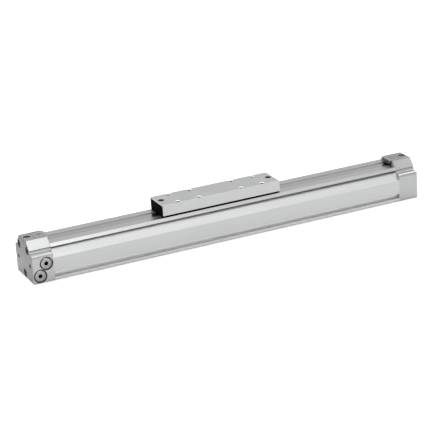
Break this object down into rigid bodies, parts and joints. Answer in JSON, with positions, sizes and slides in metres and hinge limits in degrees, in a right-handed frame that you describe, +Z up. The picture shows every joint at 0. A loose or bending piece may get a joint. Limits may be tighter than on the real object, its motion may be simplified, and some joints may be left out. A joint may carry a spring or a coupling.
{
  "type": "rodless pneumatic cylinder",
  "caption": "Rodless air cylinder: slotted aluminium barrel with steel sealing bands, end caps with ports and cushion screws, and a sliding carriage driven by an inner piston.",
  "frame": {"origin": "under the middle of the barrel's length, on the plane of its flat underside", "axes": "+X along the barrel away from the ported end cap, +Z up through the slot and carriage, +Y towards the side with the open air ports"},
  "size_m": [0.55, 0.06, 0.062],
  "materials": {
    "barrel_aluminium": "satin natural anodised extrusion",
    "cap_aluminium": "satin natural anodised, fine blasted",
    "carriage_aluminium": "satin natural anodised",
    "inner_aluminium": "machined, hard anodised",
    "band_steel": "cold rolled spring strip, nearly mirror bright",
    "plug_steel": "zinc plated, turned face",
    "bright_steel": "zinc plated",
    "black_steel": "black oxide",
    "black_plastic": "moulded, fine matt grain",
    "guide_plastic": "low-friction plastic",
    "seal_rubber": "smooth moulded rubber",
    "magnet": "sintered magnet ring"
  },
  "bodies": {
    "cylinder": {"barrel": "barrel_aluminium", "end_cap_left": "cap_aluminium", "end_cap_right": "cap_aluminium", "end_cap_screws": "bright_steel", "end_cap_ring_left": "seal_rubber", "end_cap_ring_right": "seal_rubber", "cushion_spigot_left": "inner_aluminium", "cushion_spigot_right": "inner_aluminium", "end_buffer_left": "seal_rubber", "end_buffer_right": "seal_rubber", "port_plugs": "plug_steel", "port_plug_rings": "black_steel", "band_clamp_left": "cap_aluminium", "band_clamp_right": "cap_aluminium", "band_clamp_screws": "bright_steel", "outer_band": "band_steel", "inner_band": "band_steel"},
    "carriage_unit": {"carriage": "carriage_aluminium", "end_cover_left": "black_plastic", "end_cover_right": "black_plastic", "end_cover_screws": "black_steel", "wiper_left": "seal_rubber", "wiper_right": "seal_rubber", "side_strip_front": "black_plastic", "side_strip_back": "black_plastic", "piston_yoke": "inner_aluminium", "yoke_screws": "black_steel", "band_guide": "guide_plastic", "piston_left": "inner_aluminium", "piston_right": "inner_aluminium", "piston_bolts": "bright_steel", "piston_seal_left": "seal_rubber", "piston_seal_right": "seal_rubber", "wear_ring_left": "guide_plastic", "wear_ring_right": "guide_plastic", "magnet_ring_left": "magnet", "magnet_ring_right": "magnet", "cushion_seal_left": "seal_rubber", "cushion_seal_right": "seal_rubber"},
    "needle_left": {"cushion_screw_left": "bright_steel", "cushion_screw_ring_left": "seal_rubber"},
    "needle_right": {"cushion_screw_right": "bright_steel", "cushion_screw_ring_right": "seal_rubber"}
  },
  "joints": [
    {"name": "carriage_slide", "type": "slide", "parent": "cylinder", "child": "carriage_unit", "axis": [1, 0, 0], "range_m": [-0.14, 0.16], "deforming": ["outer_band", "inner_band"]},
    {"name": "cushion_left_turn", "type": "hinge", "parent": "cylinder", "child": "needle_left", "pos_m": [-0.2692, 0, 0.05], "axis": [0, 0, 1], "range_deg": [0, 1080]},
    {"name": "cushion_right_turn", "type": "hinge", "parent": "cylinder", "child": "needle_right", "pos_m": [0.2692, 0, 0.05], "axis": [0, 0, 1], "range_deg": [0, 1080]}
  ]
}
